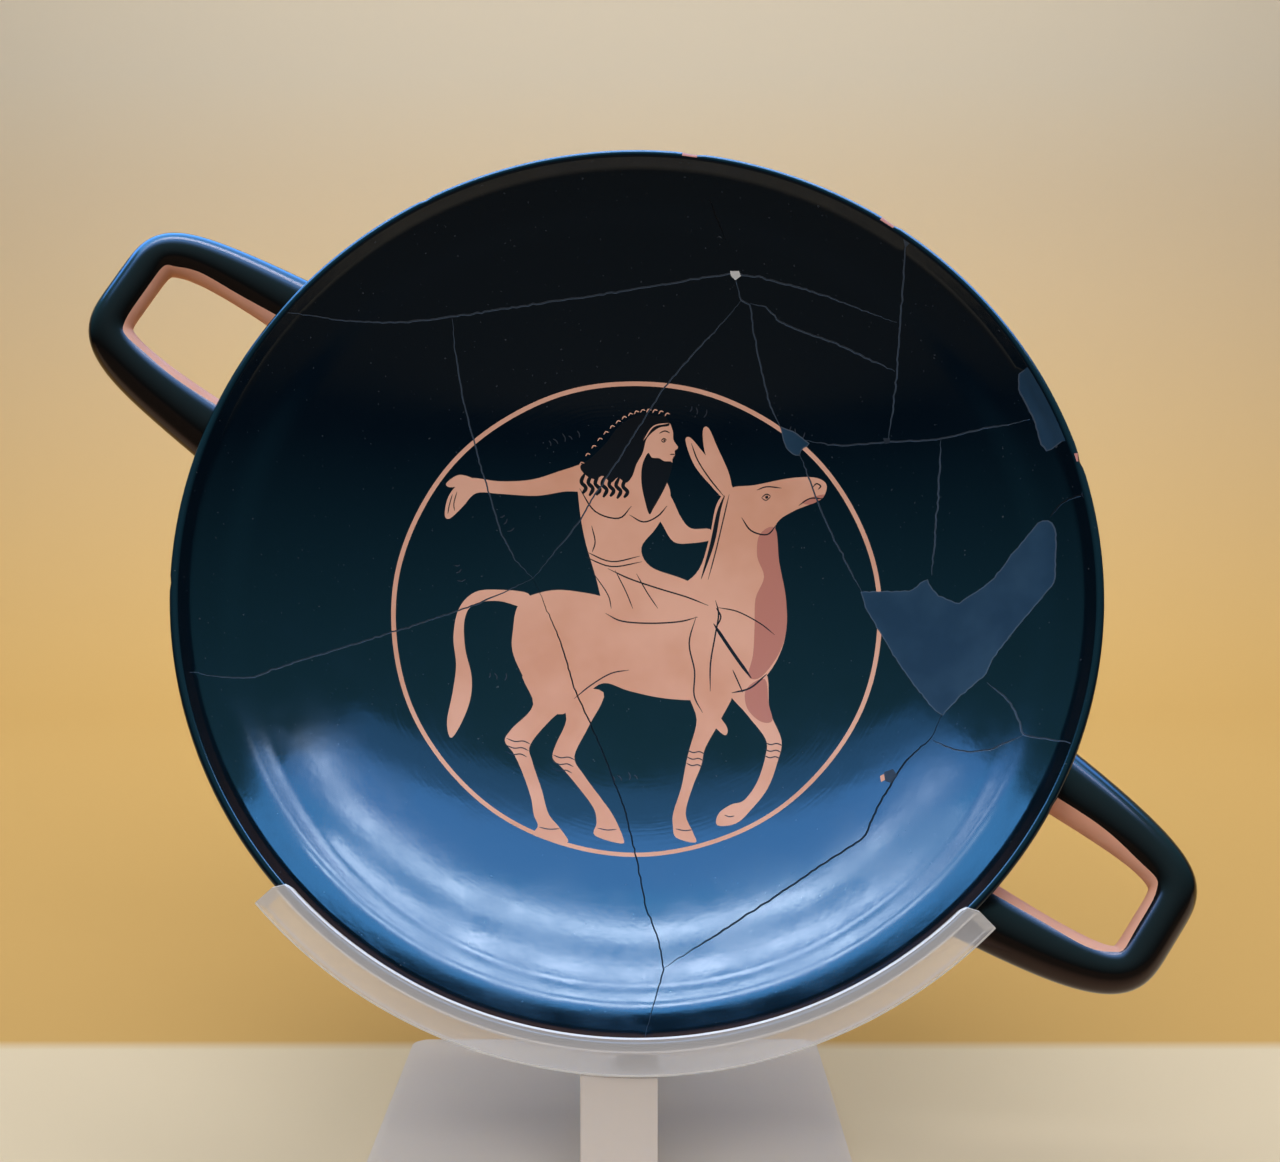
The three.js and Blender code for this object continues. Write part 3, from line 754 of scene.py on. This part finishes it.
def spun(profile):
    """A profile of radius and height turned about the cup's axis, one row for each of its points."""
    return np.stack([profile[:, :1] * np.cos(spoke), profile[:, :1] * np.sin(spoke),
                     np.repeat(profile[:, 1:], SPOKES, 1)], axis=2)


def grid_faces(rows, columns, flip=False):
    """Four-sided faces (i, i + 1, i + 1 + columns, i + columns) over a grid, closed round its columns."""
    row, column = np.meshgrid(np.arange(rows - 1), np.arange(columns), indexing="ij")
    beyond = (column + 1) % columns
    faces = np.stack([row * columns + column, row * columns + beyond,
                      (row + 1) * columns + beyond, (row + 1) * columns + column], axis=2).reshape(-1, 4)
    return faces[:, ::-1] if flip else faces


def soft_normals(points, faces):
    """Each point's mean of its faces' normals, by area."""
    normal = np.cross(points[faces[:, 2]] - points[faces[:, 0]], points[faces[:, 3]] - points[faces[:, 1]])
    total = np.zeros_like(points)
    for corner in range(4):
        np.add.at(total, faces[:, corner], normal)
    return total / np.maximum(np.linalg.norm(total, axis=1, keepdims=True), 1e-12)


HANDLE_ROOT_RADIUS = 82.0
HANDLE_ROOT_DEPTH = 25.5
HANDLE_POWER = 5.6
HANDLE_BAR = np.array([11.2, 11.1])
HANDLE_ROOT = np.array([21.8, 13.6])
HANDLE_BARE = math.radians(50.0)
PANEL_INSET = 4.0
PANEL_TOP = -9.0
PANEL_FOOT = -34.0
HANDLES = {"left": (150.0, 17.2, 151.8, 22.2, 18.0), "right": (-35.0, 8.7, 151.8, 21.6, 17.2)}

outer_points = spun(turned)
outer_normals = spun(turned_normal)
rim_rows = 13
RIM_CHIPS = ((119.0, 1.6, 0.35), (54.5, 1.8, 0.5), (14.0, 2.2, 0.8), (-178.0, 1.4, 0.3),
             (82.5, 3.4, 0.45), (-31.0, 1.6, 0.3))
for angle, half, depth in RIM_CHIPS:
    gap = np.abs((np.degrees(spoke) - angle + 180) % 360 - 180) / math.degrees(half / RIM_RADIUS)
    bite = depth * np.clip(1 - gap ** 2, 0, 1)
    across = np.sin(np.linspace(0, math.pi, rim_rows))
    outer_points[:rim_rows] -= outer_normals[:rim_rows] * (across[:, None] * bite)[..., None]
outer_faces = grid_faces(len(turned), SPOKES)
face_row = outer_faces[:, 0] // SPOKES
row_paint = {"rim": "slip", "wall": "slip", "stem": "slip", "foot": "slip",
             "foot_edge": "clay", "rest": "clay", "under": "clay"}
outer_paint = np.array([LAYERS.index(row_paint[name]) for name in turned_names])[face_row]
chipped = np.zeros((len(turned), SPOKES), bool)
for angle, half, depth in RIM_CHIPS:
    gap = np.abs((np.degrees(spoke) - angle + 180) % 360 - 180) / math.degrees(half / RIM_RADIUS)
    chipped[3:rim_rows - 5] |= (gap < 0.6) & (depth > 0.4)
outer_paint[chipped.reshape(-1)[outer_faces[:, 0]]] = LAYERS.index("wash")
outer_middles = outer_points.reshape(-1, 3)[outer_faces].mean(1)
face_turn = np.degrees(np.arctan2(outer_middles[:, 1], outer_middles[:, 0]))
face_depth = outer_middles[:, 2]
for heading, _, _, root_spread, _ in HANDLES.values():
    aside = np.radians(np.abs((face_turn - heading + 180) % 360 - 180)) * RIM_RADIUS
    panel = (aside < root_spread - PANEL_INSET) & (face_depth < PANEL_TOP) & (face_depth > PANEL_FOOT)
    panel &= face_row > rim_rows
    outer_paint[panel] = LAYERS.index("clay")


def handle(heading, rise_angle, reach, root_spread, tip_spread, steps=200, sides=56):
    """An oval bar round half a superellipse: away = run * cos(t)^(2/p), aside = spread * sin(t)^(2/p)."""
    heading = math.radians(heading)
    outwards = np.array([math.cos(heading), math.sin(heading), 0])
    across = np.array([math.sin(heading), -math.cos(heading), 0])
    rise = math.tan(math.radians(rise_angle))
    face = np.array([0, 0, 1.0]) - rise * outwards
    face /= np.linalg.norm(face)
    run = reach - HANDLE_ROOT_RADIUS

    def middle(turn):
        away = run * np.maximum(np.cos(turn), 0) ** (2 / HANDLE_POWER)
        spread = root_spread + (tip_spread - root_spread) * away / run
        aside = spread * np.sign(np.sin(turn)) * np.abs(np.sin(turn)) ** (2 / HANDLE_POWER)
        return (outwards * (HANDLE_ROOT_RADIUS + away)[:, None] + across * aside[:, None]
                + np.array([0, 0, 1.0]) * (rise * away - HANDLE_ROOT_DEPTH)[:, None])

    even = np.linspace(-math.pi / 2, math.pi / 2, 2001)
    path = middle(even)
    length = np.concatenate([[0], np.cumsum(np.linalg.norm(np.diff(path, axis=0), axis=1))])
    turn = np.interp(np.linspace(0, length[-1], steps), length, even)
    centre = middle(turn)
    along = middle(np.minimum(turn + 1e-3, math.pi / 2)) - middle(np.maximum(turn - 1e-3, -math.pi / 2))
    along /= np.linalg.norm(along, axis=1, keepdims=True)
    side = np.cross(along, face)
    side /= np.linalg.norm(side, axis=1, keepdims=True)
    flare = 1 - np.maximum(np.cos(turn), 0) ** (2 / HANDLE_POWER)
    size = HANDLE_BAR + (HANDLE_ROOT - HANDLE_BAR) * flare[:, None]
    size = size * (1 - 0.015 * (1 + np.sin(5.1 * turn + heading)))[:, None]
    hole = outwards * (HANDLE_ROOT_RADIUS + 0.5 * run)
    inward = math.copysign(1, float(side[steps // 2] @ (hole - centre[steps // 2])))
    even_turn = np.linspace(0, 1, sides // 2 + 1)
    edge = HANDLE_BARE + 0.10 * np.sin(2.3 * turn + heading) + 0.05 * np.sin(9 * turn)
    bare_turn = -edge[:, None] + 2 * edge[:, None] * even_turn
    black_turn = edge[:, None] + 2 * (math.pi - edge[:, None]) * even_turn
    around = np.hstack([bare_turn[:, :-1], black_turn[:, :-1]])
    points = (centre[:, None] + side[:, None] * (inward * size[:, :1] / 2 * np.cos(around))[..., None]
              + face * (inward * size[:, 1:] / 2 * np.sin(around))[..., None])
    within = np.hypot(points[..., 0], points[..., 1])
    wall_middle = outer_wall(np.linspace(1, mouth_radius, 200), 0.5)
    ceiling = np.interp(within, wall_middle[:, 0], wall_middle[:, 1], right=RIM_RADIUS)
    points[..., 2] = np.minimum(points[..., 2], ceiling)
    bare = np.arange(sides) < sides // 2
    return points, bare


WELD = 1e-6
solid_points, solid_faces, solid_normals, solid_paint = [], [], [], []


def keep(points, faces, normals, paint):
    """Adds a surface to the cup's lists, with a normal and a paint for each of its faces' corners."""
    first = sum(len(part) for part in solid_points)
    solid_points.append(cup_to_frame(points))
    solid_faces.append(np.asarray(faces) + first)
    solid_normals.append(normals @ cup_axes)
    solid_paint.append(np.asarray(paint))


def fan_faces(count):
    """Triangles (i + 1, i, count) from a ring of points to the one that follows them."""
    around = np.arange(count)
    return np.column_stack([(around + 1) % count, around, np.full(count, count)])


in_join = np.isin(layer, [LAYERS.index("join"), LAYERS.index("join_dark")])
corner_normals = inner_normals[triangles]
flat_normal = np.cross(inner_points[triangles[:, 1]] - inner_points[triangles[:, 0]],
                       inner_points[triangles[:, 2]] - inner_points[triangles[:, 0]])
flat_normal /= np.maximum(np.linalg.norm(flat_normal, axis=1, keepdims=True), 1e-12)
corner_normals[in_join] = flat_normal[in_join][:, None]
keep(inner_points, triangles, corner_normals, layer)
outer_faces = outer_faces[:, ::-1]
keep(outer_points.reshape(-1, 3), outer_faces, outer_normals.reshape(-1, 3)[outer_faces], outer_paint)
foot_pole = np.vstack([outer_points[-1], [[0, 0, turned[-1, 1]]]])
keep(foot_pole, fan_faces(SPOKES), np.tile([0.0, 0.0, -1.0], (SPOKES, 3, 1)),
     np.full(SPOKES, LAYERS.index("clay")))
for settings in HANDLES.values():
    bar, bare = handle(*settings)
    rows, columns = bar.shape[:2]
    bar = bar.reshape(-1, 3)
    faces = grid_faces(rows, columns, flip=True)
    normals = soft_normals(bar, faces)
    paint = np.where(bare[faces[:, 0] % columns], LAYERS.index("clay"), LAYERS.index("handle_slip"))
    keep(bar, faces, normals[faces], paint)
    for ring, flip in ((bar[:columns], True), (bar[-columns:], False)):
        fan = fan_faces(columns)[:, ::-1] if flip else fan_faces(columns)
        cap = np.vstack([ring, ring.mean(0)])
        facing = np.cross(cap[fan[:, 1]] - cap[fan[:, 0]], cap[fan[:, 2]] - cap[fan[:, 0]])
        facing /= np.maximum(np.linalg.norm(facing, axis=1, keepdims=True), 1e-12)
        keep(cap, fan, np.repeat(facing[:, None], 3, 1), np.full(columns, LAYERS.index("clay")))

GLOSS = (0.0018, 0.0065, 0.013)
WHEEL_MARKS = 1100.0
WHEEL_WANDER = 0.006
slip = Finish("black_gloss_slip", GLOSS, 0.24, Specular_IOR_Level=0.40)
to_cup = slip.node("ShaderNodeMapping", {"Vector": slip.place, "Rotation": (LEAN - math.pi / 2, 0, 0),
                                         "Location": (-cup_axes @ RIM_CENTRE).tolist()})
flattened = slip.node("ShaderNodeVectorMath", {0: to_cup.outputs["Vector"], 1: (1, 1, 0)},
                      operation="MULTIPLY")
from_axis = slip.node("ShaderNodeVectorMath", {0: flattened.outputs["Vector"]},
                      operation="LENGTH").outputs["Value"]
drift = slip.node("ShaderNodeMath", {0: slip.noise(24), 1: WHEEL_WANDER, 2: from_axis},
                  operation="MULTIPLY_ADD").outputs[0]
rings = slip.node("ShaderNodeTexNoise", {"W": drift, "Scale": WHEEL_MARKS, "Detail": 2.0},
                  noise_dimensions="1D").outputs[0]
wheel_marks = slip.step(from_axis, 0.060, 0.082, 1.0, 0.25)
marked = slip.node("ShaderNodeMath", {0: rings, 1: wheel_marks}, operation="MULTIPLY").outputs[0]
patchy = slip.node("ShaderNodeMath", {0: marked, 1: slip.noise(85)}, operation="MULTIPLY_ADD")
slip.tree.links.new(slip.noise(300, 2.0), patchy.inputs[2])
slip.bump(patchy.outputs[0], 0.00003, 0.5)
slip.roughness(slip.step(slip.noise(70, 4.0), 0.38, 0.66, 0.10, 0.16))
specks = slip.step(slip.noise(1100, 1.0), 0.76, 0.80)
slip.color(slip.mix(specks, GLOSS, (0.05, 0.06, 0.075)))
clay = Finish("reserved_clay", (0.72, 0.38, 0.27), 0.62, Specular_IOR_Level=0.2)
clay.color(clay.mix(clay.step(clay.noise(40), 0.4, 0.68), (0.86, 0.47, 0.335), (0.76, 0.375, 0.245)))
wash = Finish("red_wash", (0.56, 0.22, 0.165), 0.6, Specular_IOR_Level=0.2)
brush = Finish("brush_line", (0.006, 0.006, 0.008), 0.45, Specular_IOR_Level=0.25)
fill = Finish("toned_plaster", (0.012, 0.032, 0.075), 0.7, Specular_IOR_Level=0.15)
fill.color(fill.mix(fill.step(fill.noise(60), 0.4, 0.65), (0.016, 0.045, 0.085), (0.025, 0.062, 0.110)))
faded = Finish("faded_stroke", (0.030, 0.034, 0.044), 0.6, Specular_IOR_Level=0.2)
join = Finish("join_paste", (0.070, 0.092, 0.125), 0.7)
join_dark = Finish("open_join", (0.008, 0.009, 0.012), 0.6)
chalk = Finish("chalky_nick", (0.75, 0.74, 0.72), 0.8)
pit = Finish("dark_pit", (0.02, 0.022, 0.028), 0.7)
handle_slip = Finish("handle_slip", (0.005, 0.005, 0.005), 0.17, Specular_IOR_Level=0.5,
                     Specular_Tint=(1.0, 0.62, 0.55, 1))
cup_materials = [m.material for m in (slip, clay, wash, brush, faded, fill, join, join_dark, chalk, pit,
                                       handle_slip)]
all_points = np.vstack(solid_points)
_, kept, welded = np.unique(np.round(all_points / WELD).astype(int), axis=0,
                            return_index=True, return_inverse=True)
welded_faces = [welded.reshape(-1)[part] for part in solid_faces]
sound = [np.all(np.diff(np.sort(part, 1), axis=1) > 0, axis=1) for part in welded_faces]
cup = mesh_object("kylix_surface", all_points[kept],
                  [face for part, good in zip(welded_faces, sound) for face in part[good]], cup_materials,
                  np.concatenate([part[good] for part, good in zip(solid_paint, sound)]),
                  np.vstack([part[good].reshape(-1, 3) for part, good in zip(solid_normals, sound)]))
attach(cup, "root")
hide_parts("kylix")

# The cradle: clear acrylic bent to the rim, a shelf under it and a low lip before it.
# Its faces are clear; along each sawn edge runs a thin chamfer painted a near-opaque white, a painted
# highlight.
CRADLE_MIDDLE = math.radians(-91.9)
CRADLE_HALF = math.radians(45.2)
CRADLE_SECTION = np.array([(111.9, 0.35), (115.35, 0.35), (115.35, -9.15), (120.45, -9.15),
                           (120.45, 3.75), (111.9, 3.75)])
CRADLE_ROUND = 3.0
CRADLE_BEVEL = 0.45
CRADLE_STEPS = 120

before, after = np.roll(CRADLE_SECTION, 1, 0), np.roll(CRADLE_SECTION, -1, 0)
to_before = (before - CRADLE_SECTION) / np.linalg.norm(before - CRADLE_SECTION, axis=1, keepdims=True)
to_after = (after - CRADLE_SECTION) / np.linalg.norm(after - CRADLE_SECTION, axis=1, keepdims=True)
section = np.stack([CRADLE_SECTION + CRADLE_BEVEL * to_before,
                    CRADLE_SECTION + CRADLE_BEVEL * to_after], 1).reshape(-1, 2)
cradle_turn = CRADLE_MIDDLE + CRADLE_HALF * np.linspace(-1, 1, CRADLE_STEPS)
from_end = np.minimum(np.arange(CRADLE_STEPS), np.arange(CRADLE_STEPS)[::-1]) * (
    2 * CRADLE_HALF / (CRADLE_STEPS - 1) * CRADLE_SECTION[0, 0])
into_round = np.maximum(CRADLE_ROUND - from_end, 0)
drawn_in = CRADLE_ROUND - np.sqrt(np.maximum(CRADLE_ROUND ** 2 - into_round ** 2, 0))
cradle_radius = np.repeat(section[None, :, 0], CRADLE_STEPS, 0)
lip_edge = section[:, 0] < CRADLE_SECTION[1, 0] - CRADLE_BEVEL * 1.5
cradle_radius[:, lip_edge] += drawn_in[:, None]
cradle_points = np.stack([cradle_radius * np.cos(cradle_turn)[:, None],
                          cradle_radius * np.sin(cradle_turn)[:, None],
                          np.repeat(section[None, :, 1], CRADLE_STEPS, 0)], axis=2).reshape(-1, 3)
sides = len(section)
cradle_faces = grid_faces(CRADLE_STEPS, sides, flip=True).tolist()
cradle_paint = [1 if face[0] % 2 == 0 else 0 for face in cradle_faces]
cradle_faces += [list(range(sides)), list(range((CRADLE_STEPS - 1) * sides, CRADLE_STEPS * sides))[::-1]]
cradle_paint += [1, 1]
acrylic = Finish("clear_acrylic", (0.88, 0.86, 0.87), 0.14, Alpha=0.30, IOR=1.49)
# The chamfers' near-opaque white is a painted highlight along the acrylic's edges.
edge_highlight_finish = Finish("painted_edge_highlight", (0.92, 0.92, 0.95), 0.35, Alpha=0.85, IOR=1.49)
cradle = mesh_object("cradle_surface", cup_to_frame(cradle_points), cradle_faces,
                     [acrylic.material, edge_highlight_finish.material], cradle_paint)
cradle.data.polygons.foreach_set("use_smooth", np.zeros(len(cradle.data.polygons), bool))
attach(cradle, "root")
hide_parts("rim_cradle")

# The rest of the stand: posts and plate sawn from the same sheet, the plate with a little haze.
# They keep the shapes of the measured model and only take these finishes.
post_acrylic = Finish("post_acrylic", (0.92, 0.84, 0.78), 0.14, Alpha=0.55, IOR=1.49)
hazy = Finish("hazy_acrylic", (1.0, 0.90, 0.77), 0.4, Alpha=0.74, IOR=1.49, Specular_IOR_Level=0.2)
for name, finish in (("front_post", post_acrylic), ("rear_post", post_acrylic), ("base_plate", hazy)):
    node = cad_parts[name]
    for slot_of_node in node.material_slots:
        slot_of_node.material = finish.material
